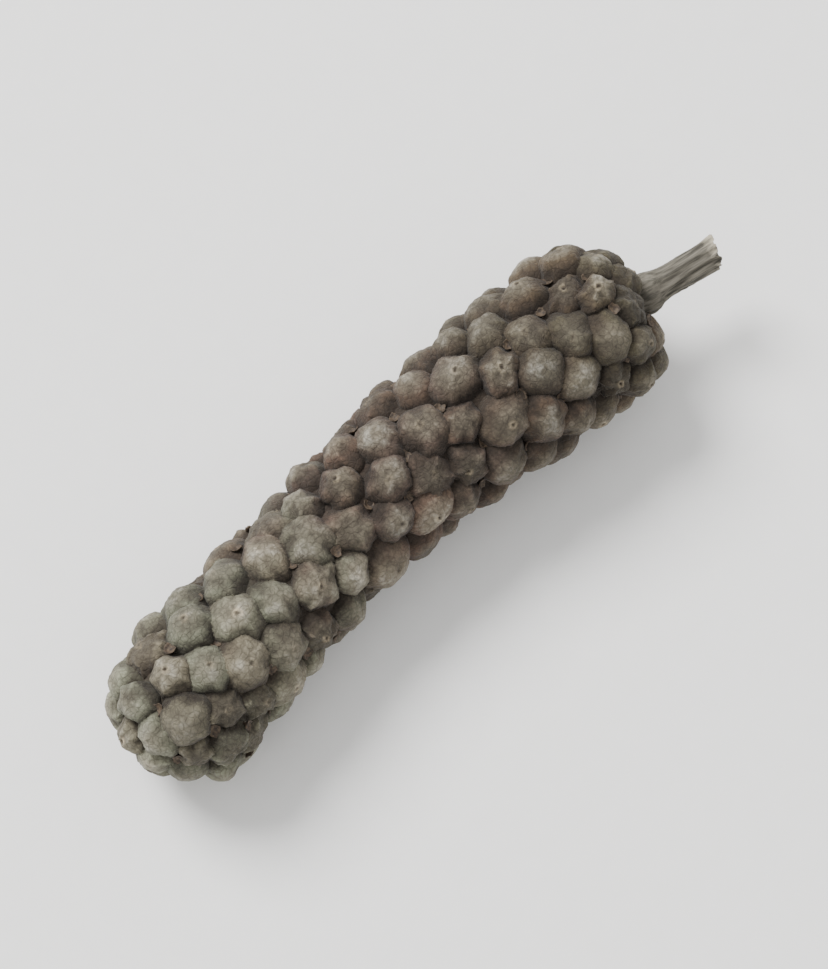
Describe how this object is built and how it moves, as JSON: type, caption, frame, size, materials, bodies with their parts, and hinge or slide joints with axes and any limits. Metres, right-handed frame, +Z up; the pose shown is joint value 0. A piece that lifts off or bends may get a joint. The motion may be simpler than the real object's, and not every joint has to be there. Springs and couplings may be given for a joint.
{
  "type": "long pepper",
  "caption": "Dried long pepper: a slender, blunt-tipped fruit spike of tiny fused berries in spiral rows, with a short stub of its stalk, lying on its side.",
  "frame": {"origin": "on the surface that the pepper lies on, under the middle of its box", "axes": "+X along the spike, from its blunt tip to its stalk; +Y to the side that its bow stands out to; +Z up, away from the surface that it lies on"},
  "size_m": [0.0241, 0.0062, 0.0056],
  "materials": {
    "dried_berry_skin": "matte",
    "dried_stalk": "matte"
  },
  "bodies": {
    "root": {"fruit_spike": "dried_berry_skin", "stalk": "dried_stalk"}
  },
  "joints": []
}
